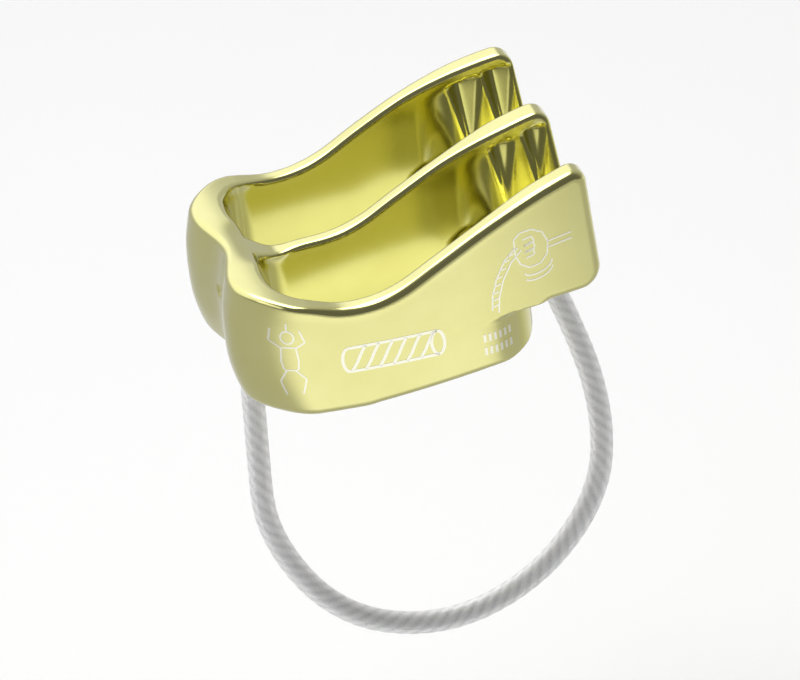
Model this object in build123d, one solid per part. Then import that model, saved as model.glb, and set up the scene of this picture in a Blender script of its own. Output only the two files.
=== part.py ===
from build123d import *
from math import radians, tan
import os

# Two-slot tubular belay device: a forged aluminium body and a springy keeper loop of sheathed wire rope.
# Millimetres. +Z points up out of the rope slots, +X to the brake end, +Y across the two slots.
# The origin is under the middle of the web, where the carabiner is drawn up against the device.

# ---- Body ----
TAIL_X = -28.9          # outermost point of the two tail lobes
VALLEY_X = -27.0        # dent between the lobes
LOBE_Y = 11.0
FLAT_X = -25.6          # the flat bottom starts here
BRAKE_X = 27.1          # end faces of the three fins
SHOULDER = (-22.6, 22.2)    # where a tail lobe runs into the side
HALF_WIDTH_MID = 24.6
HALF_WIDTH_BRAKE = 22.2
WEB = 2.8               # wall between the two slots
# crest of the rim in side view, from the tail to the tip of the fins
RIM = [(-28.0, 19.8), (-12.5, 17.4), (1.6, 21.9), (12.5, 27.1), (24.6, 31.0)]
FIN_TIP_Z = 28.6        # where the rounded fin tip meets the end face
TUB_END_X = 17.5        # end of the tub, under the brake overhang
TUB_CORNER_R = 10.0     # plan corners of the tub below the overhang
OVERHANG_Z = 10.5       # underside of the overhang
HEEL_R = 2.5            # bottom corner of the tub in side view
RISE = [(-12.0, 0.0), (TUB_END_X, 2.8)]     # the bottom edges of the walls rise towards the brake end
KEEL_X = (4.0, 9.0)     # the web's own bottom edge stays level to here, then rises to meet them
CHIN_R = 3.6            # bottom corner of the overhang in side view

# ---- Rope slots ----
SLOT_TAIL_X = -21.6
SLOT_END_X = 13.5       # brake-side end of the through slots
SLOT_SIDE_Y = 20.9
SLOT_BOW = 0.2          # the side wall of a slot bows out by this at mid length
SLOT_TAPER = 1.2        # and draws in by this at the tail
SLOT_R = 5.5
WAIST_Z = 9.0           # above this the walls stand upright, below it they close in a little
FUNNEL = 0.6            # how far each wall closes in at the bottom
THROAT_Z = 3.0

# ---- Brake channels: a V between each pair of fins, with ribs that bite the rope ----
SADDLE_Z = 15.0         # floor of the channel, where the brake rope bends over
SADDLE_HALF = 3.2
CHANNEL_TOP_Z = 30.0
FIN_HALF = 2.0          # half thickness of a fin at its tip
FIN_Y = 20.1            # centre plane of the outer fins
POCKETS_X = [(16.4, 20.9), (21.9, 26.0)]    # scooped pockets between the ribs
POCKET_ROOF_Z = [27.2, 28.4]
POCKET_FOOT_Z = 17.0    # where the pockets run out
POCKET_LOW_SHARE = 0.36     # a pocket is deepest this far along it
POCKET_DEPTH = 2.0      # into an outer fin, at the pocket's roof
POCKET_DEPTH_WEB = 1.2

# ---- Keeper loop ----
# Centreline in the mid plane y = 0, as (x, z): from the tail hole, round, and up into the brake-end hole.
ROUTE = [
    (-23.5, 3.0), (-24.5, -16.5), (-25.0, -32.0), (-15.5, -49.0), (0.5, -55.5),
    (16.5, -51.0), (28.0, -38.5), (30.0, -23.5), (26.5, -6.0), (20.0, 13.5),
]
CORNER_SHARE = 0.45     # share of the shorter run that a bend's tangent takes
SHEATH_D = 3.6
ROPE_D = 2.6
FERRULE_D = 3.4
FERRULE_L = 5.5
TAIL_END_DEPTH = 11.0   # how far each fixed rope end reaches past the route's end point
BRAKE_END_DEPTH = 9.0
HOLE_GAP = 0.05         # radial clearance of the fixed ends in their holes
END_GAP = 0.9           # room for the loop's end faces to tilt
MOUTH_CLEARANCE = 0.25
MOUTH_DEPTH = 6.0       # the holes flare sideways over this depth, to let the loop swing
MOUTH_WIDTH = 10.5
STAKE_Z = 12.2          # punch mark that locks the tail ferrule
STAKE_R = 1.3


def route_points():
    """The loop's route as points in space."""
    return [Vector(x, 0, z) for x, z in ROUTE]


def bend_radii(points):
    """One radius for each corner of the route, as large as its two runs allow."""
    radii = []
    for before, corner, after in zip(points, points[1:], points[2:]):
        run = min((corner - before).length, (after - corner).length)
        turn = (corner - before).get_angle(after - corner)
        radii.append(CORNER_SHARE * run / tan(radians(turn) / 2))
    return radii


def loop_path():
    """Centreline of the loop: straight runs joined by tangent arcs."""
    points = route_points()
    return FilletPolyline(*points, radius=bend_radii(points))


def end_planes():
    """Planes at the two ends of the route, each pointing into the body."""
    points = route_points()
    tail = Plane(origin=points[0], z_dir=points[0] - points[1])
    brake = Plane(origin=points[-1], z_dir=points[-1] - points[-2])
    return tail, brake


def side_profile():
    """Silhouette seen along Y: rising bottom, bulging tail, S-shaped rim, fins and overhang."""
    tail = Spline([(FLAT_X, 0), (TAIL_X, 9.5), RIM[0]], tangents=[(-1, 0.35), (0.25, 1)])
    crest = Spline(RIM, tangents=[(0.5, 0.1), (1, 0.2)])
    tip = ThreePointArc(RIM[-1], (BRAKE_X - 0.6, FIN_TIP_Z + 1.5), (BRAKE_X, FIN_TIP_Z))
    under = Polyline(
        (BRAKE_X, FIN_TIP_Z), (BRAKE_X, OVERHANG_Z), (TUB_END_X, OVERHANG_Z), RISE[1], RISE[0], (FLAT_X, 0)
    )
    face = make_face([tail, crest, tip, under])
    heel = face.vertices().filter_by(lambda v: abs(v.Y - RISE[1][1]) < 0.01).sort_by(Axis.X)[-1]
    face = fillet(heel, HEEL_R)
    underside = face.vertices().filter_by(lambda v: abs(v.Y - OVERHANG_Z) < 0.01).sort_by(Axis.X)
    return fillet(underside[-1], CHIN_R)


def outer_plan():
    """Outline seen from above: two lobes at the tail, gently bulged sides."""
    lobe = Spline([(VALLEY_X, 0), (TAIL_X, LOBE_Y), SHOULDER], tangents=[(0, 1), (1, 0.35)])
    side = ThreePointArc(SHOULDER, (1.0, HALF_WIDTH_MID), (BRAKE_X, HALF_WIDTH_BRAKE))
    end = Polyline((BRAKE_X, HALF_WIDTH_BRAKE), (BRAKE_X, 0), (VALLEY_X, 0))
    half = make_face([lobe, side, end])
    return half + mirror(half, Plane.XZ)


def tub_corner_relief():
    """What is cut from under the overhang to round the tub's end in plan."""
    start_x = TUB_END_X - TUB_CORNER_R
    block = Pos((start_x + 40) / 2, 0, OVERHANG_Z / 2) * Box(40 - start_x, 60, OVERHANG_Z)
    half_width = HALF_WIDTH_MID - 0.5
    tub = RectangleRounded(80, 2 * half_width, TUB_CORNER_R)
    keep = extrude(Pos(TUB_END_X - 40, 0) * tub, OVERHANG_Z)
    return block - keep


def slot_outline(inset):
    """Plan of one rope slot, its side wall following the bulged outside."""
    x0 = SLOT_TAIL_X + inset
    x1 = SLOT_END_X - inset
    y0 = WEB / 2 + inset
    side = SLOT_SIDE_Y - inset
    outline = make_face([
        Polyline((x0, side - SLOT_TAPER), (x0, y0), (x1, y0), (x1, side - SLOT_BOW)),
        ThreePointArc((x0, side - SLOT_TAPER), (0, side + SLOT_BOW), (x1, side - SLOT_BOW)),
    ])
    return fillet(outline.vertices(), SLOT_R)


def rope_slot():
    """One through slot on the +Y side: upright above the waist, a shallow funnel below it."""
    upper = extrude(Pos(0, 0, WAIST_Z) * slot_outline(0), 30)
    funnel = loft([Pos(0, 0, WAIST_Z) * slot_outline(0), Pos(0, 0, THROAT_Z) * slot_outline(FUNNEL)])
    throat = extrude(Pos(0, 0, -1) * slot_outline(FUNNEL), THROAT_Z + 1)
    return upper + funnel + throat


def pocket(span, roof_z, depth, face_y, lean, side):
    """A V-shaped scoop in a channel wall, deepest under its roof and running out at its foot.

    The wall's face is at face_y at the channel's top and leans by lean per millimetre of height.
    The scoop goes into the metal on the given side, -1 or 1 along Y.
    """
    x0, x1 = span
    low_x = x0 + POCKET_LOW_SHARE * (x1 - x0)
    sections = []
    for z, size in ((roof_z, 1.0), (POCKET_FOOT_Z, 0.05)):
        y = face_y - side * lean * (CHANNEL_TOP_Z - z)
        left, right = low_x + size * (x0 - low_x), low_x + size * (x1 - low_x)
        outline = Polyline(
            (left, y - side), (left, y), (low_x, y + side * size * depth), (right, y), (right, y - side), close=True
        )
        sections.append(Pos(0, 0, z) * make_face(outline))
    return loft(sections, ruled=True)


def brake_channel():
    """V-shaped channel on the +Y side, open at the brake end, with pockets between its ribs."""
    near = FIN_HALF
    far = FIN_Y - FIN_HALF
    middle = (near + far) / 2
    start_x = SLOT_END_X - SLOT_R
    section = Polyline(
        (middle - SADDLE_HALF, SADDLE_Z), (middle + SADDLE_HALF, SADDLE_Z), (far, CHANNEL_TOP_Z),
        (far, CHANNEL_TOP_Z + 5), (near, CHANNEL_TOP_Z + 5), (near, CHANNEL_TOP_Z), close=True,
    )
    channel = extrude(Plane.YZ.offset(start_x) * make_face(section), BRAKE_X - start_x + 1)
    lean = (middle - SADDLE_HALF - near) / (CHANNEL_TOP_Z - SADDLE_Z)
    for span, roof_z in zip(POCKETS_X, POCKET_ROOF_Z):
        channel += pocket(span, roof_z, POCKET_DEPTH_WEB, near, lean, -1)
        channel += pocket(span, roof_z, POCKET_DEPTH, far, lean, 1)
    return channel


def web_keel():
    """The web's own bottom edge, level where the carabiner bears on it."""
    level_x, end_x = KEEL_X
    (x0, z0), (x1, z1) = RISE
    end_z = z0 + (z1 - z0) * (end_x - x0) / (x1 - x0)
    outline = Polyline((x0, 0), (level_x, 0), (end_x, end_z), (end_x, end_z + 3), (x0, end_z + 3), close=True)
    return extrude(Plane.XZ * make_face(outline), WEB / 2, both=True)


def loop_hole(plane, depth):
    """Blind hole for a fixed rope end. Below it the mouth flares sideways, along Y."""
    length = depth - END_GAP
    bore = plane * Pos(0, 0, END_GAP + length / 2) * Cylinder(SHEATH_D / 2 + HOLE_GAP, length)
    mouth_d = SHEATH_D + 2 * MOUTH_CLEARANCE
    throat = plane * Pos(0, 0, END_GAP) * SlotOverall(mouth_d + 1.2, mouth_d, rotation=90)
    lips = plane * Pos(0, 0, -MOUTH_DEPTH) * SlotOverall(MOUTH_WIDTH, mouth_d, rotation=90)
    return bore + loft([throat, lips])


def make_body():
    """The forging, slots, channels and holes."""
    blank = extrude(Plane.XZ * side_profile(), 30, both=True)
    blank &= extrude(Pos(0, 0, -1) * outer_plan(), 40)
    blank -= tub_corner_relief()
    cut = rope_slot() + brake_channel()
    blank -= cut
    blank -= mirror(cut, Plane.XZ)
    blank += web_keel()
    tail, brake = end_planes()
    blank -= loop_hole(tail, TAIL_END_DEPTH)
    blank -= loop_hole(brake, BRAKE_END_DEPTH)
    blank -= Pos(VALLEY_X - 0.7, 0, STAKE_Z) * Sphere(STAKE_R)
    return blank


def loop_tube(outer_d, inner_d=0):
    """A tube swept along the loop, solid where no inner diameter is given."""
    path = loop_path()
    start = Plane(origin=path @ 0, z_dir=path % 0)
    section = start * Circle(outer_d / 2)
    if inner_d:
        section -= start * Circle(inner_d / 2)
    return sweep(section, path=path)


def fixed_end(plane, depth):
    """One end of the keeper loop, fixed in its hole: the sheathed end and the ferrule crimped on it."""
    end_l = depth - END_GAP - FERRULE_L
    rope_end = plane * Pos(0, 0, END_GAP + end_l / 2) * Cylinder(SHEATH_D / 2, end_l)
    ferrule = plane * Pos(0, 0, depth - FERRULE_L / 2) * Cylinder(FERRULE_D / 2, FERRULE_L)
    return rope_end, ferrule


if __name__ == "__main__":
    os.makedirs("parts", exist_ok=True)
    tail, brake = end_planes()
    tail_rope_end, tail_ferrule = fixed_end(tail, TAIL_END_DEPTH)
    brake_rope_end, brake_ferrule = fixed_end(brake, BRAKE_END_DEPTH)
    nodes = {
        "body": make_body(),
        "keeper_rope": loop_tube(ROPE_D),
        "keeper_sheath": loop_tube(SHEATH_D, ROPE_D),
        "tail_rope_end": tail_rope_end,
        "tail_ferrule": tail_ferrule,
        "brake_rope_end": brake_rope_end,
        "brake_ferrule": brake_ferrule,
    }
    for name, shape in nodes.items():
        export_step(shape, f"parts/{name}.step")
        print(name, round(shape.volume, 1), "mm3", shape.is_valid)
    print("bend radii", [round(r, 1) for r in bend_radii(route_points())])
    print("loop length", round(loop_path().length, 1))
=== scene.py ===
import math

import bpy
import numpy as np
import openvdb
from mathutils import Matrix, Vector


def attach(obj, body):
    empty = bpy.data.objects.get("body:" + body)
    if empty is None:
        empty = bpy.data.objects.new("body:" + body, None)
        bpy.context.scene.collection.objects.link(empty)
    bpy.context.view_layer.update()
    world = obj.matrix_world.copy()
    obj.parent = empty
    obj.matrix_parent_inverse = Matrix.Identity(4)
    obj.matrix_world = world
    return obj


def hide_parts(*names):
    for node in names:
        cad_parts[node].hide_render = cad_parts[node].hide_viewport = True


# Two-slot belay device. Sizes are millimetres in the frame of the CAD model, unless they say otherwise.
# +X is the brake end, +Y runs across the slots and +Z points up out of them.
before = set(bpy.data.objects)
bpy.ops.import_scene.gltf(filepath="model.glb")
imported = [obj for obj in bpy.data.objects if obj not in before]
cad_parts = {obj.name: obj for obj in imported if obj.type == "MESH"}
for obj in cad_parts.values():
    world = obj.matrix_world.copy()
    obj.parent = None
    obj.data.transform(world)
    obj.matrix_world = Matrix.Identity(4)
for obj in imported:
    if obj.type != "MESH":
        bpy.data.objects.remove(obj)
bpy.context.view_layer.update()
MM = 0.001

# A pair whose name ends in _X, _Z or _SPREAD says where a change sets in and where it is complete; a spread
# is measured out from the middle plane.
# ---- Forging: outline seen from above ----
WIDEST = (2.0, 24.6)        # X of the widest place, and half the width there
BULGE = 0.0040              # how fast the sides draw in from it, per millimetre squared
VALLEY_X = -27.0            # dent in the middle of the tail
LOBE_DEPTH = 1.9            # how far the two lobes of the tail stand out past it
LOBE_Y = 11.0
TAIL_CORNER_R = 8.0
TAIL_LEAN = [               # height, and how far in the tail's face stands there
    (-2.0, 2.6), (0.0, 1.7), (2.6, 0.8), (6.0, 0.15), (10.0, 0.0), (14.0, 0.2), (17.0, 0.75), (20.0, 1.5),
    (24.0, 2.4),
]
TAIL_LEAN_X = (-12, -24)
TUB_END_X = 17.5
TUB_CORNER_R = 12.0         # plan corners of the tub, under the overhang
TUB_SIDE_ROOM = 0.35        # they start this far outside the widest place
TUB_EDGE_R = 0.35
# ---- Forging: outline seen from the side ----
CREST = [                   # X and Z of the rim
    (-34.0, 20.2), (-28.0, 19.9), (-23.5, 19.6), (-18.5, 18.7), (-13.0, 17.5), (-8.5, 17.6), (-4.0, 18.9),
    (1.6, 21.8), (9.0, 25.5), (15.8, 28.3), (21.1, 29.9), (26.0, 30.9), (34.0, 31.9),
]
DIP = 1.5                   # the web's rim dips by this where it leaves the tail
DIP_MIDDLE = -18.0
DIP_REACH = 3.4
DIP_SPREAD = (3.0, 8.0)
BRAKE_END = (27.1, 20)      # X and Z of a point on the brake end's face
BRAKE_LEAN = 0.045          # it leans back towards its top
HEEL_R = 2.5
RISE = (-12.0, 0.095)       # the walls' bottom edges rise from this X towards the brake end, at this slope
RISE_EASE = 3
KEEL_X = (4.0, 9.0)         # the web's own bottom edge stays level to here, then rises to meet them
KEEL_SPREAD = (1.6, 4.0)
OVERHANG_Z = 10.5
OVERHANG_FILLET = (1.6, 1.2)    # inner corner under it: across the tub's end, and round its plan corners
OVERLAP = 5                 # the tub runs this far up into the part above the overhang
CHIN_R = 3.6
TIP_R = 2.7
# ---- Rounded edges of walls ----
RIM_R = 1.4                 # the rim's outer edge
RIM_LOSS = 0.5              # less rounding than that at the tail
RIM_LOSS_X = (-13, -20)
RIM_INNER_R = 0.9
TAIL_INNER_R = 3.4          # the tail wall rolls over further into the hollows
BOTTOM_R = 1.4
OUTER_EDGE_Z = (8, 14)      # bottom rounding below, rim rounding above
SLOT_MOUTH_R = 1.5          # where the slots come out at the bottom
SLOT_MOUTH_Z = (10, 3)
# ---- Slots and brake channels ----
SIDE_WALL = 3.4
FIN_WALL = 4.1
WEB_HALF = 1.4
FIN_HALF = 2.2
FIN_X = (8, 20)             # walls thicken into fins
TAIL_FACE_X = -20.9         # inner face of the tail wall
TAIL_POCKET_R = 4.4         # upright corners of the hollow at the tail
FUNNEL = 0.3                # slot walls close in by this towards the bottom
FUNNEL_Z = (9.0, 0.5)
SLOT_END_X = 13.5
SLOT_R = 5.5                # upright corners of the slots
CHANNEL_R = 2.2             # and of the hollow above them, where it goes over the saddle
SLOT_R_Z = (15, 11)
SADDLE_Z = 15.0
SADDLE_R = 3.0
SADDLE_DROP = 2.2           # it falls towards the brake end
SADDLE_DROP_X = (19, 28)
CHANNEL_X = (10.8, 16.6)    # slots turn into V-shaped brake channels
V_SLOPE = 0.36              # how fast the channel walls close in, per millimetre of depth
V_TOP = 2                   # depth where they start to
V_EASE = 0.8
V_BOTTOM_R = 0.6
RIB_GAPS = [(16.4, 20.9), (21.9, 26.0)]     # scooped pockets between the ribs, along X
POCKET_DEPTH = 2.0          # into the outer wall, at the pocket's roof
POCKET_DEPTH_WEB = 1.4
POCKET_ROOF = 2.1           # below the rim's crest
POCKET_HEIGHT = 11.0
POCKET_LOW_SHARE = 0.36     # its deepest line, as a share of its length
POCKET_VALLEY_R = 0.4
POCKET_ROOF_R = 0.5
POCKET_EDGE_R = 0.45
POCKET_SILL = 1             # above the saddle
# ---- Holes ----
BORE_ROOM = 0.05            # round the jacket, where it is held
MOUTH_ROOM = 0.25           # and where the hole flares sideways
MOUTH_FLARE = (0.6, 2.6, 1.4)   # half slot at the bottom, what the way out adds, and how far past the face
MOUTH_DEPTH = 6.0
BORE_START = 4              # outside the face
HOLE_EDGE_R = 0.35
STAKE_OUT = 0.75            # the punched dimple is part of a ball that lies this far outside the tail
STAKE_Z = 12.2
STAKE_R = 1.35
STAKE_EDGE_R = 0.2
# ---- Keeper loop: the route's points, as in the CAD model ----
ROUTE = [
    (-23.5, 3.0), (-24.5, -16.5), (-25.0, -32.0), (-15.5, -49.0), (0.5, -55.5),
    (16.5, -51.0), (28.0, -38.5), (30.0, -23.5), (26.5, -6.0), (20.0, 13.5),
]
SHEATH_D = 3.6
SHEATH_WALL = 0.42
STRANDS = 6                 # round one that runs straight
STRAND_ROOM = 0.99          # each is a hair thinner than its room
LAY = 13.2                  # one full turn of a strand, along the rope
STRAND_RISE = 0.07          # how far the jacket rises over each strand
TAIL_END_DEPTH = 11.0
BRAKE_END_DEPTH = 9.0
END_GAP = 0.9
# ---- Fineness of the meshes ----
GRID_STEP = 0.31            # spacing of the grid that the forging's surface is drawn from
LINE_STEPS = 24             # points per span of a smooth line
STRAND_SIDES = 10
JACKET_SIDES = 48
# ---- Studio ----
FLOOR_Z = -95.0
CARD_Z = -94.5
FLOOR_HALF = 3000.0


# ------------------------------------------------------------------ shapes as distances
def smooth(low, high, value):
    """0 at low, 1 at high, with a soft start and end."""
    t = np.clip((value - low) / (high - low), 0, 1)
    return t * t * (3 - 2 * t)


def both(a, b, r):
    """Where both distances are inside, with the edge between them rounded to radius r."""
    u, v = np.maximum(a + r, 0), np.maximum(b + r, 0)
    return np.minimum(np.maximum(a, b), -r) + np.hypot(u, v)


def either(a, b, r):
    """Where either distance is inside, with the inner corner between them filled to radius r."""
    return -both(-a, -b, r)


def curve_through(points):
    """A smooth line through the points, which keeps its ends (Catmull-Rom)."""
    p = np.array(points, float)
    p = np.vstack([2 * p[0] - p[1], p, 2 * p[-1] - p[-2]])
    t = np.linspace(0, 1, LINE_STEPS, endpoint=False)[:, None]
    spans = []
    for a, b, c, d in zip(p, p[1:], p[2:], p[3:]):
        square, cube = 2 * a - 5 * b + 4 * c - d, 3 * b - a - 3 * c + d
        spans.append(0.5 * (2 * b + (c - a) * t + square * t**2 + cube * t**3))
    return np.vstack(spans + [p[-2:-1]])


CREST_LINE = curve_through(CREST)
LEAN_LINE = curve_through(TAIL_LEAN)


def rim_z(x, off_middle):
    """Height of the rim at x; the web's rim has a dip near the tail."""
    dip = DIP * np.exp(-(((x - DIP_MIDDLE) / DIP_REACH) ** 2)) * (1 - smooth(*DIP_SPREAD, off_middle))
    return np.interp(x, CREST_LINE[:, 0], CREST_LINE[:, 1]) - dip


def bottom_z(x, off_middle):
    """Height of the bottom edges: they rise towards the brake end, but the web keeps a level keel."""
    keel = (1 - smooth(*KEEL_SPREAD, off_middle)) * (1 - smooth(*KEEL_X, x))
    run = np.maximum(x - RISE[0], 0)
    return RISE[1] * run * smooth(0, RISE_EASE, run) * (1 - keel)


def half_width(x):
    """Half of the forging's width at x."""
    return WIDEST[1] - BULGE * (x - WIDEST[0]) ** 2


def plan_distance(x, y, z):
    """Seen from above: inside the bowed sides and the lobed tail, whose face leans with height."""
    lean = np.interp(z, LEAN_LINE[:, 0], LEAN_LINE[:, 1]) * smooth(*TAIL_LEAN_X, x)
    off_middle = np.abs(y)
    sides = (off_middle - half_width(x)) / np.sqrt(1 + (2 * BULGE * (x - WIDEST[0])) ** 2)
    lobe = np.pi * off_middle / LOBE_Y
    tail = VALLEY_X - LOBE_DEPTH / 2 * (1 - np.cos(lobe)) - (x - lean)
    tail = tail / np.sqrt(1 + (LOBE_DEPTH / 2 * np.pi / LOBE_Y * np.sin(lobe)) ** 2)
    return both(sides, tail, TAIL_CORNER_R)


def side_distance(x, off_middle, z):
    """Seen from the side: under the rim, above the bottom and the overhang, and left of the brake end."""
    step = 0.3
    slope = (rim_z(x + step, off_middle) - rim_z(x - step, off_middle)) / (2 * step)
    crest = (z - rim_z(x, off_middle)) / np.sqrt(1 + slope**2)
    floor = (bottom_z(x, off_middle) - z) / math.sqrt(1 + RISE[1] ** 2)
    brake = x - BRAKE_END[0] + BRAKE_LEAN * (z - BRAKE_END[1])
    upper = both(both(crest, brake, TIP_R), OVERHANG_Z - z, CHIN_R)
    tub = np.maximum(both(x - TUB_END_X, floor, HEEL_R), z - OVERHANG_Z - OVERLAP)
    return np.maximum(either(upper, tub, OVERHANG_FILLET[0]), floor)


def rope_hole(x, y, z, start, into, depth):
    """One hole for a fixed end of the loop: a round bore, and a mouth that flares sideways."""
    along = (x - start[0]) * into[0] + (z - start[1]) * into[1]
    across = (x - start[0]) * into[1] - (z - start[1]) * into[0]
    bore = np.maximum(np.hypot(across, y) - SHEATH_D / 2 - BORE_ROOM, along - depth)
    narrow, flare, past = MOUTH_FLARE
    widen = narrow + flare * np.clip((END_GAP - along) / (MOUTH_DEPTH + END_GAP), 0, past)
    mouth = np.hypot(across, np.maximum(np.abs(y) - widen, 0)) - SHEATH_D / 2 - MOUTH_ROOM
    return np.minimum(np.maximum(bore, -along - BORE_START), np.maximum(mouth, along - END_GAP))


def unit(a, b):
    """Unit vector from a to b."""
    d = np.subtract(b, a)
    return d / np.linalg.norm(d)


def forging_distance(x, y, z):
    """Signed distance to the forging's surface, negative in the metal."""
    plan = plan_distance(x, y, z)
    off_middle = np.abs(y)
    side = side_distance(x, off_middle, z)
    rim_r = RIM_R - RIM_LOSS * smooth(*RIM_LOSS_X, x)
    edge_r = BOTTOM_R + (rim_r - BOTTOM_R) * smooth(*OUTER_EDGE_Z, z)
    solid = both(plan, side, edge_r)
    # under the overhang the tub's end is round in plan
    tub = both(off_middle - WIDEST[1] - TUB_SIDE_ROOM, x - TUB_END_X, TUB_CORNER_R)
    solid = both(solid, either(tub, OVERHANG_Z - z, OVERHANG_FILLET[1]), TUB_EDGE_R)

    # the hollow follows the outside, and closes in towards its bottom and down the brake channel
    fin = smooth(*FIN_X, x)
    wall = SIDE_WALL + (FIN_WALL - SIDE_WALL) * fin
    web_half = WEB_HALF + (FIN_HALF - WEB_HALF) * fin
    below = rim_z(x, off_middle) - z
    depth = below - V_TOP
    channel = smooth(*CHANNEL_X, x)
    funnel = FUNNEL * smooth(*FUNNEL_Z, z)
    close_in = funnel * (1 - channel) + V_SLOPE * 0.5 * (depth + np.hypot(depth, V_EASE)) * channel
    outer_face = plan + wall + close_in
    web_face = web_half - off_middle + close_in
    # the tail wall rolls over into the hollows on a quarter round, cut off just before it is level
    lean = np.sqrt(1 - np.clip(1 - below / TAIL_INNER_R, 0, 0.9) ** 2)
    tail_face = (TAIL_FACE_X - x - TAIL_INNER_R * (1 - lean)) * lean
    walls = both(both(outer_face, web_face, V_BOTTOM_R), tail_face, TAIL_POCKET_R)
    hole_end = x - SLOT_END_X + funnel
    saddle = SADDLE_Z - SADDLE_DROP * smooth(*SADDLE_DROP_X, x) - z
    ends = either(hole_end, saddle, SADDLE_R)
    hollow = both(walls, ends, CHANNEL_R + (SLOT_R - CHANNEL_R) * smooth(*SLOT_R_Z, z))
    for x0, x1 in RIB_GAPS:
        low_x = x0 + POCKET_LOW_SHARE * (x1 - x0)
        slant = np.where(x < low_x, POCKET_DEPTH / (low_x - x0), POCKET_DEPTH / (x1 - low_x))
        valley = slant * (np.hypot(x - low_x, POCKET_VALLEY_R) - POCKET_VALLEY_R)
        fade = POCKET_DEPTH * (below - POCKET_ROOF) / POCKET_HEIGHT + valley
        scoop = np.maximum(outer_face - POCKET_DEPTH, web_face - POCKET_DEPTH_WEB) + fade
        pocket = both(scoop / np.sqrt(1 + slant**2), POCKET_ROOF - below, POCKET_ROOF_R)
        hollow = either(hollow, np.maximum(pocket, SADDLE_Z + POCKET_SILL - z), POCKET_EDGE_R)
    solid = both(solid, -hollow, RIM_INNER_R + (SLOT_MOUTH_R - RIM_INNER_R) * smooth(*SLOT_MOUTH_Z, z))

    tail_hole = rope_hole(x, y, z, ROUTE[0], unit(ROUTE[1], ROUTE[0]), TAIL_END_DEPTH)
    brake_hole = rope_hole(x, y, z, ROUTE[-1], unit(ROUTE[-2], ROUTE[-1]), BRAKE_END_DEPTH)
    solid = both(solid, -np.minimum(tail_hole, brake_hole), HOLE_EDGE_R)
    stake = np.sqrt((x - VALLEY_X + STAKE_OUT) ** 2 + y**2 + (z - STAKE_Z) ** 2) - STAKE_R
    return both(solid, -stake, STAKE_EDGE_R)


def new_mesh(name, vertices, faces, material, smooth_shaded=True):
    """An object from points in millimetres and faces."""
    mesh = bpy.data.meshes.new(name)
    mesh.from_pydata((np.asarray(vertices) * MM).tolist(), [], [tuple(map(int, f)) for f in faces])
    mesh.materials.append(material)
    mesh.polygons.foreach_set("use_smooth", [smooth_shaded] * len(mesh.polygons))
    mesh.update()
    piece = bpy.data.objects.new(name, mesh)
    bpy.context.scene.collection.objects.link(piece)
    return piece


def steepest(points, h):
    """Slope of the distance at each point, over a step of h each way."""
    rise = [forging_distance(*(points + s).T) - forging_distance(*(points - s).T) for s in np.eye(3) * h]
    return np.stack(rise, 1) / (2 * h)


def forging(material):
    """The forged body: its surface drawn from the distance on a grid, then pulled exactly onto it."""
    # the grid fills a box that is a little larger than the forging
    low = np.array([-30.5, -26.2, -1.5])
    high = np.array([28.7, 26.2, 33.0])
    x, y, z = (np.arange(a, b, GRID_STEP) for a, b in zip(low, high))
    field = forging_distance(x[:, None, None], y[None, :, None], z[None, None, :])
    grid = openvdb.FloatGrid(5.0)
    grid.copyFromArray(np.ascontiguousarray(field, np.float32))
    points, triangles, quads = grid.convertToPolygons(isovalue=0.0, adaptivity=0.0)
    points = points.astype(float) * GRID_STEP + low
    for _ in range(3):
        slope = steepest(points, 0.02)
        steep = np.maximum((slope**2).sum(1, keepdims=True), 0.1)
        move = -forging_distance(*points.T)[:, None] * slope / steep
        points += np.clip(move, -0.6 * GRID_STEP, 0.6 * GRID_STEP)
    normals = steepest(points, 0.15)
    normals /= np.linalg.norm(normals, axis=1, keepdims=True)
    faces = quads[:, ::-1] if facing(points, quads, normals) < 0 else quads
    piece = new_mesh("forged_body", points, faces, material)
    mesh = piece.data
    mesh.normals_split_custom_set_from_vertices(normals.tolist())
    x, y, z = points.T
    below = rim_z(x, np.abs(y)) - z
    polished = 1 - smooth(1.5, 2.7, below)
    # inside marks the hollows: the material paints them a deeper colour as painted shade, and makes them
    # smoother
    inside = smooth(0.6, 2.4, below) * smooth(-1.8, -2.8, plan_distance(x, y, z))
    for name, values in (("rim", polished), ("inside", inside)):
        mesh.attributes.new(name, "FLOAT", "POINT").data.foreach_set("value", values)
    return piece


def facing(points, quads, normals):
    """Positive where the faces' own normals point the same way as the given ones."""
    a, b, c = (points[quads[:, i]] for i in range(3))
    return float((np.cross(b - a, c - a) * normals[quads[:, 0]]).sum(1).mean())


# ------------------------------------------------------------------ keeper loop
def loop_line():
    """The route as one smooth line: points read from a NURBS spline over the route's points."""
    curve = bpy.data.curves.new("route", "CURVE")
    curve.dimensions = "3D"
    spline = curve.splines.new("NURBS")
    spline.points.add(len(ROUTE) - 1)
    for point, (x, z) in zip(spline.points, ROUTE):
        point.co = (x, 0, z, 1)
    spline.order_u = 3
    spline.use_endpoint_u = True
    spline.resolution_u = LINE_STEPS
    holder = bpy.data.objects.new("route", curve)
    bpy.context.scene.collection.objects.link(holder)
    mesh = bpy.data.meshes.new_from_object(holder)
    line = np.array([v.co[:] for v in mesh.vertices], float)
    bpy.data.objects.remove(holder)
    bpy.data.meshes.remove(mesh)
    bpy.data.curves.remove(curve)
    return line


def evenly(line, spacing):
    """The same line with points at an even spacing."""
    reach = np.concatenate([[0], np.cumsum(np.linalg.norm(np.diff(line, axis=0), axis=1))])
    count = int(round(reach[-1] / spacing)) + 1
    at = np.linspace(0, reach[-1], count)
    return np.stack([np.interp(at, reach, line[:, i]) for i in range(3)], 1), at


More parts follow.
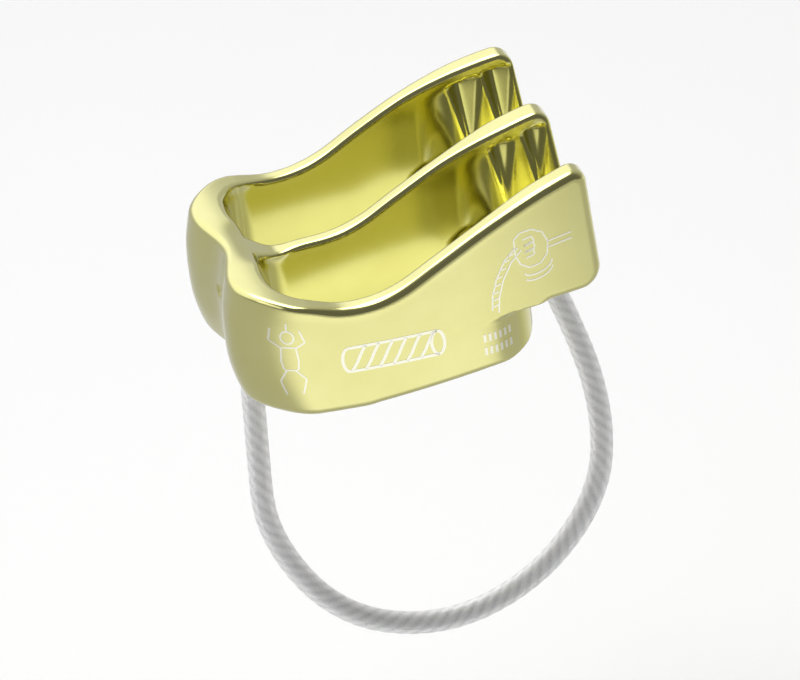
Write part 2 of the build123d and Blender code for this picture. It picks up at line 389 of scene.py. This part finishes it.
def rings(line, radius, turn, offset, sides):
    """Rings of points round a line that winds round the given one, at an offset and by a turning angle."""
    along = np.gradient(line, axis=0)
    along /= np.linalg.norm(along, axis=1, keepdims=True)
    across = np.array([0.0, 1.0, 0.0]) + 0 * along
    up = np.cross(along, across)
    middle = line + offset * (np.cos(turn)[:, None] * across + np.sin(turn)[:, None] * up)
    heading = np.gradient(middle, axis=0)
    heading /= np.linalg.norm(heading, axis=1, keepdims=True)
    first = np.cross(heading, up)
    first /= np.linalg.norm(first, axis=1, keepdims=True)
    second = np.cross(heading, first)
    angle = np.linspace(0, 2 * np.pi, sides, endpoint=False)
    return middle[:, None] + np.broadcast_to(radius, (len(line), sides))[..., None] * (
        np.cos(angle)[None, :, None] * first[:, None] + np.sin(angle)[None, :, None] * second[:, None]
    )


def tube_faces(count, sides, start):
    """Quads of one tube of rings, with a flat cap at each end."""
    faces = []
    for i in range(count - 1):
        for j in range(sides):
            a, b = start + i * sides + j, start + i * sides + (j + 1) % sides
            faces.append((a, a + sides, b + sides, b))
    faces.append(tuple(start + j for j in range(sides)))
    faces.append(tuple(start + (count - 1) * sides + j for j in reversed(range(sides))))
    return faces


def wire_rope(line, material):
    """Strands laid right-handed round a straight one."""
    strand_d = (SHEATH_D - 2 * SHEATH_WALL) / 3
    points, reach = evenly(line, 0.45)
    vertices, faces = [], []
    for number in range(STRANDS + 1):
        offset = 0 if number == STRANDS else strand_d
        turn = 2 * np.pi * (number / STRANDS - reach / LAY)
        made = rings(points, strand_d / 2 * STRAND_ROOM, turn, offset, STRAND_SIDES).reshape(-1, 3)
        faces += tube_faces(len(points), STRAND_SIDES, len(vertices) * len(made))
        vertices.append(made)
    return new_mesh("wire_rope", np.vstack(vertices), faces, material)


def sheath(line, material):
    """The clear jacket, extruded onto the rope: it fills the gaps between the strands and rises over them."""
    points, reach = evenly(line, 0.4)
    angle = np.linspace(0, 2 * np.pi, JACKET_SIDES, endpoint=False)
    over = np.cos(STRANDS * (angle[None, :] + 2 * np.pi * reach[:, None] / LAY))
    radius = SHEATH_D / 2 - STRAND_RISE * (1 - over) / 2
    made = rings(points, radius, np.zeros(len(points)), 0, JACKET_SIDES).reshape(-1, 3)
    piece = new_mesh("clear_sheath", made, tube_faces(len(points), JACKET_SIDES, 0), material)
    mark = piece.data.attributes.new("over_strand", "FLOAT", "POINT")
    mark.data.foreach_set("value", (0.5 + over / 2).astype(np.float32).ravel())
    return piece


# ------------------------------------------------------------------ laser marks
def face_y(x, z):
    """Y of the forging's -Y side face at (x, z), found by stepping in from outside."""
    y = np.full(len(x), -28.0)
    for _ in range(25):
        y += 0.9 * forging_distance(x, y, z)
    return y


def mark_strokes(strokes, width, material, name):
    """Marks on the -Y side face. Each stroke is a line of (x, z) points, drawn as a thin raised strip."""
    vertices, faces = [], []
    proud, sunk = -0.03, 0.12
    for stroke in strokes:
        p, _ = evenly(np.insert(np.array(stroke, float), 1, 0, axis=1), 0.4)
        p = p[:, [0, 2]]
        heading = np.gradient(p, axis=0)
        heading /= np.maximum(np.linalg.norm(heading, axis=1, keepdims=True), 1e-9)
        side = np.stack([-heading[:, 1], heading[:, 0]], 1) * width / 2
        faces += tube_faces(len(p), 4, sum(len(v) for v in vertices))
        edges = np.stack([p + side, p - side, p - side, p + side], 1).reshape(-1, 2)
        y = face_y(edges[:, 0], edges[:, 1]) + np.tile([proud, proud, sunk, sunk], len(p))
        vertices.append(np.stack([edges[:, 0], y, edges[:, 1]], 1))
    return new_mesh(name, np.vstack(vertices), faces, material, smooth_shaded=False)


def ring_stroke(cx, cz, rx, rz, start=0.0, end=360.0, turn=0.0):
    """An arc of an ellipse as a stroke, angles in degrees."""
    a = np.radians(np.linspace(start, end, 25))
    c, s = math.cos(math.radians(turn)), math.sin(math.radians(turn))
    x, z = rx * np.cos(a), rz * np.sin(a)
    return [(cx + c * i - s * j, cz + s * i + c * j) for i, j in zip(x, z)]


def climber_mark():
    """A plain figure with raised arms on a rope."""
    x, z = -21.8, 9.4
    return [
        ring_stroke(x, z + 4.6, 0.9, 1.05),
        [(x - 1.0, z + 2.9), (x - 1.2, z + 0.5), (x - 0.9, z - 1.0), (x + 1.0, z - 1.0), (x + 1.2, z + 0.7),
         (x + 1.0, z + 2.9), (x - 1.0, z + 2.9)],
        [(x - 1.0, z + 2.8), (x - 2.5, z + 4.0), (x - 2.1, z + 6.0)],
        [(x + 1.0, z + 2.8), (x + 2.4, z + 3.7), (x + 1.8, z + 5.7)],
        [(x - 0.6, z - 1.0), (x - 1.6, z - 3.0), (x - 0.9, z - 5.4)],
        [(x + 0.6, z - 1.0), (x + 2.0, z - 2.6), (x + 1.3, z - 5.1)],
        [(x, z + 5.7), (x + 0.1, z + 7.0)],
    ]


def fist_mark():
    """A closed hand that holds the brake rope, and the rope running down from it."""
    x, z = 16.5, 20.3
    strokes = [
        [(x - 2.6, z + 2.4), (x - 1.6, z + 3.3), (x + 0.3, z + 3.4), (x + 2.0, z + 2.4), (x + 2.7, z + 0.6),
         (x + 2.4, z - 1.4), (x + 1.2, z - 2.7), (x - 0.6, z - 2.9), (x - 2.0, z - 1.9), (x - 2.6, z - 0.3),
         (x - 2.6, z + 2.4)],
        [(x - 1.2, z + 2.0), (x + 0.2, z + 2.3), (x + 0.6, z + 1.4), (x - 1.1, z + 0.9)],
        [(x - 1.1, z + 0.9), (x + 0.5, z + 1.2), (x + 0.6, z + 0.2), (x - 1.1, z - 0.2)],
        [(x - 1.1, z - 0.2), (x + 0.4, z + 0.0), (x + 0.4, z - 0.9), (x - 1.0, z - 1.2)],
        [(x + 2.7, z + 0.6), (x + 6.6, z + 0.9)],
        [(x + 2.6, z - 0.4), (x + 6.6, z - 0.1)],
        ring_stroke(x + 0.7, z - 3.0, 2.4, 1.2, 190, 360, 12),
        ring_stroke(x + 0.7, z - 3.9, 2.4, 1.2, 200, 350, 12),
    ]
    left = [
        (x - 2.6, z + 1.0), (x - 4.4, z - 0.6), (x - 6.0, z - 3.3), (x - 6.9, z - 6.0), (x - 7.2, z - 8.4),
    ]
    right = [(a + 1.0, b - 0.6) for a, b in left]
    strokes += [left, right]
    for i in range(9):
        along = (i + 0.5) / 9 * (len(left) - 1)
        k = int(along)
        start = np.array(left[k]) * (k + 1 - along) + np.array(left[k + 1]) * (along - k)
        strokes.append([tuple(start), (start[0] + 0.95, start[1] + 0.25)])
    return strokes


def rope_mark():
    """A short piece of twisted rope, drawn as two edges with slanting strands between them."""
    x0, x1, low, high = -13.2, 0.4, 6.9, 10.9
    strokes = [
        [(x0, low), (x1, low)], [(x0, high), (x1, high)],
        ring_stroke(x0, (low + high) / 2, 1.0, (high - low) / 2, 90, 270),
        ring_stroke(x1, (low + high) / 2, 1.0, (high - low) / 2),
    ]
    for i in range(6):
        x = x0 + 0.2 + i * 2.1
        strokes.append([(x, low), (x + 0.9, low + 1.3), (x + 1.6, high - 1.3), (x + 2.4, high)])
    return strokes


def batch_mark():
    """Two rows of plain ticks, standing for the small print on the tub's corner."""
    return [[(7.6 + i * 0.85, z), (7.6 + i * 0.85, z + 1.3)] for z in (6.9, 4.7) for i in range(6)]


# ------------------------------------------------------------------ materials
def linear(code):
    """An sRGB hex colour as linear light."""
    parts = [int(code[i : i + 2], 16) / 255 for i in (1, 3, 5)]
    return tuple(c / 12.92 if c <= 0.04045 else ((c + 0.055) / 1.055) ** 2.4 for c in parts) + (1.0,)


def new_material(name):
    """A node material with nothing in it."""
    material = bpy.data.materials.new(name)
    material.use_nodes = True
    material.node_tree.nodes.clear()
    return material


def node(tree, kind, settings=None, **links):
    """Adds a node. Settings are its properties or, by name or number, its sockets; links join by name.
    A setting that is another node's output is joined too."""
    made = tree.nodes.new(kind)
    for key, value in (settings or {}).items():
        if isinstance(value, bpy.types.NodeSocket):
            tree.links.new(value, made.inputs[key])
        elif isinstance(key, str) and hasattr(made, key):
            setattr(made, key, value)
        else:
            made.inputs[key].default_value = value
    for key, source in links.items():
        tree.links.new(source, made.inputs[key.replace("_", " ")])
    return made


def anodised_aluminium():
    """Forged aluminium, tumbled satin, dyed and anodised; the rim is polished first.
    The eye sees coloured metal: pale where it mirrors the light, deep where it mirrors itself."""
    material = new_material("anodised_forged_aluminium")
    tree = material.node_tree
    place = node(tree, "ShaderNodeTexCoord").outputs["Object"]
    rim = node(tree, "ShaderNodeAttribute", {"attribute_name": "rim"}).outputs["Fac"]
    # tumbling media leaves a fine bloom of about 0.25 mm, and slow cloudy shifts of about 8 mm in the dye
    bloom = node(tree, "ShaderNodeTexNoise", {"Scale": 1 / (0.25 * MM), "Detail": 2.0}, Vector=place)
    shift = node(tree, "ShaderNodeTexNoise", {"Scale": 1 / (8 * MM), "Detail": 3.0}, Vector=place)
    grain, cloud = bloom.outputs["Fac"], shift.outputs["Fac"]
    # painted shade: the hollows get a deeper, more olive colour than the outside, which stands in for their
    # shade
    inside = node(tree, "ShaderNodeAttribute", {"attribute_name": "inside"}).outputs["Fac"]
    colour = node(tree, "ShaderNodeMix", {"data_type": "RGBA"}, Factor=inside)
    # the first pair of colours is the outside's dye, the deeper second pair is the painted shade of the hollows
    for socket, low, high in ((6, "#DDD98E", "#E2DE97"), (7, "#D8D371", "#DED97A")):
        dye = node(tree, "ShaderNodeValToRGB", Fac=cloud)
        dye.color_ramp.elements[0].position, dye.color_ramp.elements[0].color = 0.3, linear(low)
        dye.color_ramp.elements[1].position, dye.color_ramp.elements[1].color = 0.7, linear(high)
        tree.links.new(dye.outputs["Color"], colour.inputs[socket])
    # rough where it was tumbled, smoother as forged in the hollows and as polished on the rim
    tumbled = {"From Min": 0.3, "From Max": 0.7, "To Min": 0.24, "To Max": 0.27}
    satin = node(tree, "ShaderNodeMapRange", tumbled, Value=grain).outputs["Result"]
    smoother = node(tree, "ShaderNodeMix", {"data_type": "FLOAT", 2: satin, 3: 0.17}, Factor=inside)
    finish = node(tree, "ShaderNodeMix", {"data_type": "FLOAT", 2: smoother.outputs[0], 3: 0.18}, Factor=rim)
    depth = node(tree, "ShaderNodeMapRange", {"To Min": 0.006, "To Max": 0.002}, Value=rim).outputs["Result"]
    bump = node(tree, "ShaderNodeBump", {"Distance": 0.02 * MM}, Height=grain, Strength=depth)
    # the sealed oxide skin works like a thin clear coat
    skin = {"Metallic": 1.0, "Coat Weight": 0.8, "Coat Roughness": 0.12, "Coat IOR": 1.5}
    shader = node(tree, "ShaderNodeBsdfPrincipled", skin, Base_Color=colour.outputs[2],
                  Roughness=finish.outputs[0], Normal=bump.outputs["Normal"])
    node(tree, "ShaderNodeOutputMaterial", Surface=shader.outputs["BSDF"])
    return material


def lasered_aluminium():
    """Anodising burnt back by a marking laser: a whitish frost, a little rougher than the metal round it."""
    material = new_material("laser_frosted_aluminium")
    tree = material.node_tree
    place = node(tree, "ShaderNodeTexCoord").outputs["Object"]
    # the laser's dots are about 0.12 mm apart
    dots = node(tree, "ShaderNodeTexNoise", {"Scale": 1 / (0.12 * MM), "Detail": 1.0}, Vector=place)
    tone = node(tree, "ShaderNodeValToRGB", Fac=dots.outputs["Fac"])
    tone.color_ramp.elements[0].color = linear("#F3F2DA")
    tone.color_ramp.elements[1].color = linear("#FBFAEC")
    shader = node(tree, "ShaderNodeBsdfPrincipled", {"Metallic": 1.0, "Roughness": 0.3},
                  Base_Color=tone.outputs["Color"])
    node(tree, "ShaderNodeOutputMaterial", Surface=shader.outputs["BSDF"])
    return material


def galvanised_wire():
    """Galvanised steel wire: pale grey metal, a little frosted and patchy."""
    material = new_material("galvanised_steel_wire")
    tree = material.node_tree
    place = node(tree, "ShaderNodeTexCoord").outputs["Object"]
    # zinc patches of about 0.5 mm
    noise = node(tree, "ShaderNodeTexNoise", {"Scale": 1 / (0.5 * MM), "Detail": 2.0}, Vector=place)
    spangle = noise.outputs["Fac"]
    tone = node(tree, "ShaderNodeValToRGB", Fac=spangle)
    tone.color_ramp.elements[0].position, tone.color_ramp.elements[0].color = 0.35, linear("#BEBEC0")
    tone.color_ramp.elements[1].position, tone.color_ramp.elements[1].color = 0.65, linear("#E4E4E6")
    rough = node(tree, "ShaderNodeMapRange", {"To Min": 0.3, "To Max": 0.45}, Value=spangle).outputs["Result"]
    shader = node(tree, "ShaderNodeBsdfPrincipled", {"Metallic": 1.0}, Base_Color=tone.outputs["Color"],
                  Roughness=rough)
    node(tree, "ShaderNodeOutputMaterial", Surface=shader.outputs["BSDF"])
    return material


def clear_polyamide():
    """Extruded clear nylon, hazy in its body. Its colour is painted lighter over each strand, for the pale
    strands that show through, and greyer between them as painted shade in the grooves.
    """
    material = new_material("milky_clear_nylon")
    tree = material.node_tree
    place = node(tree, "ShaderNodeTexCoord").outputs["Object"]
    over = node(tree, "ShaderNodeAttribute", {"attribute_name": "over_strand"}).outputs["Fac"]
    # the wires of a strand are about 0.35 mm thick, and break its outline up
    noise = node(tree, "ShaderNodeTexNoise", {"Scale": 1 / (0.35 * MM), "Detail": 2.0}, Vector=place)
    wires = noise.outputs["Fac"]
    # painted: lighter over the strands and greyer in the grooves between them, partly the strands seen through
    # and partly painted shade
    seen = node(tree, "ShaderNodeMix", {"data_type": "FLOAT", 0: 0.55, 2: over, 3: wires})
    tone = node(tree, "ShaderNodeValToRGB", Fac=seen.outputs[0])
    tone.color_ramp.elements[0].position, tone.color_ramp.elements[0].color = 0.22, linear("#DCDCDD")
    tone.color_ramp.elements[1].position, tone.color_ramp.elements[1].color = 0.62, linear("#FDFDFD")
    rough = node(tree, "ShaderNodeMapRange", {"To Min": 0.26, "To Max": 0.38}, Value=wires).outputs["Result"]
    shader = node(tree, "ShaderNodeBsdfPrincipled", {"IOR": 1.42, "Transmission Weight": 0.3},
                  Base_Color=tone.outputs["Color"], Roughness=rough)
    node(tree, "ShaderNodeOutputMaterial", Surface=shader.outputs["BSDF"])
    return material


def crimped_steel():
    """Plain crimped steel, dull from the dies."""
    material = new_material("crimped_steel")
    tree = material.node_tree
    place = node(tree, "ShaderNodeTexCoord").outputs["Object"]
    # die scuffs of about 0.8 mm
    scuff = node(tree, "ShaderNodeTexNoise", {"Scale": 1 / (0.8 * MM), "Detail": 4.0}, Vector=place)
    rough = node(tree, "ShaderNodeMapRange", {"To Min": 0.35, "To Max": 0.55}, Value=scuff.outputs["Fac"])
    shader = node(tree, "ShaderNodeBsdfPrincipled", {"Metallic": 1.0, "Base Color": linear("#A8A8AA")},
                  Roughness=rough.outputs["Result"])
    node(tree, "ShaderNodeOutputMaterial", Surface=shader.outputs["BSDF"])
    return material


def studio_paper():
    """Pale matt paper for the floor."""
    material = new_material("studio_paper")
    tree = material.node_tree
    shader = node(tree, "ShaderNodeBsdfPrincipled", {"Base Color": linear("#FAFAFA"), "Roughness": 0.9})
    node(tree, "ShaderNodeOutputMaterial", Surface=shader.outputs["BSDF"])
    return material


# ------------------------------------------------------------------ studio
def within(tree, place, edges):
    """1 inside soft edges and 0 outside them; each edge is an axis, where it is dark and where it is lit."""
    level = None
    for axis, dark, lit in edges:
        soft = {"interpolation_type": "SMOOTHSTEP", "From Min": dark, "From Max": lit}
        edge = node(tree, "ShaderNodeMapRange", soft, Value=place.outputs[axis]).outputs["Result"]
        if level is not None:
            edge = node(tree, "ShaderNodeMath", {"operation": "MULTIPLY", 0: level, 1: edge}).outputs[0]
        level = edge
    return level


def table_card():
    """What the metal mirrors of the table: a bright patch in front of the device, and greyer all round it,
    least so behind it on the right. Places are in metres."""
    material = new_material("table_card")
    tree = material.node_tree
    place = node(tree, "ShaderNodeSeparateXYZ", Vector=node(tree, "ShaderNodeTexCoord").outputs["Object"])
    patch = within(tree, place, (
        ("X", -0.5, -0.08), ("X", 0.19, 0.05), ("Y", -0.05, -0.17), ("Y", -0.38, -0.19),
    ))
    behind = node(tree, "ShaderNodeMapRange", {"From Min": 0.0, "From Max": 0.1}, Value=place.outputs["Y"])
    right = node(tree, "ShaderNodeMapRange", {"From Min": -0.1, "From Max": 0.0}, Value=place.outputs["X"])
    corner = node(tree, "ShaderNodeMath",
                  {"operation": "MULTIPLY", 0: behind.outputs["Result"], 1: right.outputs["Result"]})
    rest = node(tree, "ShaderNodeMapRange", {"To Min": 0.52, "To Max": 0.82}, Value=corner.outputs[0])
    level = node(tree, "ShaderNodeMapRange", {"To Max": 1.28}, Value=patch, To_Min=rest.outputs["Result"])
    glow = node(tree, "ShaderNodeEmission", Strength=level.outputs["Result"])
    node(tree, "ShaderNodeOutputMaterial", Surface=glow.outputs["Emission"])
    return material


def flat_square(name, half, z, material):
    """A level square round the origin."""
    corners = [(-half, -half, z), (half, -half, z), (half, half, z), (-half, half, z)]
    piece = new_mesh(name, corners, [(0, 1, 2, 3)], material, smooth_shaded=False)
    return piece


def studio(paper):
    """A pale floor, a big soft light behind the device, and a dim front, so that edges have a dark line."""
    flat_square("floor", FLOOR_HALF, FLOOR_Z, paper)
    card = flat_square("table_card", FLOOR_HALF, CARD_Z, table_card())
    card.visible_camera = card.visible_diffuse = card.visible_shadow = card.visible_transmission = False

    world = bpy.data.worlds.new("studio")
    bpy.context.scene.world = world
    world.use_nodes = True
    tree = world.node_tree
    tree.nodes.clear()
    way = node(tree, "ShaderNodeSeparateXYZ", Vector=node(tree, "ShaderNodeTexCoord").outputs["Generated"])
    window = within(tree, way, (("Z", 0.14, 0.42), ("Y", -0.25, 0.15), ("X", 0.37, 0.21)))
    dim = {"From Min": -0.5, "From Max": 0.6, "To Min": 0.14, "To Max": 0.55}
    back = node(tree, "ShaderNodeMapRange", {"interpolation_type": "SMOOTHSTEP", **dim}, Value=way.outputs["Y"])
    sky = node(tree, "ShaderNodeMapRange", {"To Max": 1.3}, Value=window, To_Min=back.outputs["Result"])
    # the camera itself sees plain white
    seen = node(tree, "ShaderNodeLightPath").outputs["Is Camera Ray"]
    light = sky.outputs["Result"]
    strength = node(tree, "ShaderNodeMix", {"data_type": "FLOAT", 2: light, 3: 1.0}, Factor=seen)
    glow = node(tree, "ShaderNodeBackground", {"Color": (1, 1, 1, 1)}, Strength=strength.outputs[0])
    node(tree, "ShaderNodeOutputWorld", Surface=glow.outputs["Background"])

    # place and size in metres, power in watts
    for name, place, size, power in (
        ("top_softbox", (-0.10, 0.12, 0.62), 0.50, 2.2),
        ("left_softbox", (-0.75, -0.25, 0.35), 0.40, 0.5),
    ):
        lamp = bpy.data.lights.new(name, "AREA")
        lamp.shape = "SQUARE"
        lamp.size = size
        lamp.energy = power
        holder = bpy.data.objects.new(name, lamp)
        holder.location = place
        holder.rotation_euler = (-Vector(place)).to_track_quat("-Z", "Y").to_euler()
        holder.visible_camera = False
        bpy.context.scene.collection.objects.link(holder)


def camera():
    """Long lens, from the front left and above, with the device tipped a little to the left in the frame."""
    azimuth, elevation, roll = math.radians(-11.7), math.radians(29.8), math.radians(7.5)
    target = Vector((-1.3, -5.1, -0.6)) * MM
    distance = 1.497
    back = Vector((math.sin(azimuth) * math.cos(elevation), -math.cos(azimuth) * math.cos(elevation),
                   math.sin(elevation)))
    lens = bpy.data.cameras.new("camera")
    lens.lens = 444.0
    lens.clip_start, lens.clip_end = 0.05, 20.0
    holder = bpy.data.objects.new("camera", lens)
    holder.location = target + back * distance
    turn = (-back).to_track_quat("-Z", "Y").to_matrix() @ Matrix.Rotation(-roll, 3, "Z")
    holder.rotation_euler = turn.to_euler()
    bpy.context.scene.collection.objects.link(holder)
    bpy.context.scene.camera = holder


# ------------------------------------------------------------------ the object
camera()
studio(studio_paper())
bpy.context.scene.view_settings.view_transform = "Standard"

line = loop_line()
nylon = clear_polyamide()
steel = crimped_steel()

body = forging(anodised_aluminium())
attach(body, "forging")
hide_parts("body")

frost = lasered_aluminium()
for name, strokes, width in (
    ("climber_laser_mark", climber_mark(), 0.26),
    ("brake_hand_laser_mark", fist_mark(), 0.26),
    ("rope_laser_mark", rope_mark(), 0.48),
    ("batch_laser_mark", batch_mark(), 0.42),
):
    mark = mark_strokes(strokes, width, frost, name)
    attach(mark, "forging")

rope = wire_rope(line, galvanised_wire())
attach(rope, "keeper_loop")
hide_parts("keeper_rope")

jacket = sheath(line, nylon)
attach(jacket, "keeper_loop")
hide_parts("keeper_sheath")

for name, material in (
    ("tail_rope_end", nylon), ("brake_rope_end", nylon), ("tail_ferrule", steel), ("brake_ferrule", steel),
):
    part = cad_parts[name]
    part.data.materials.clear()
    part.data.materials.append(material)
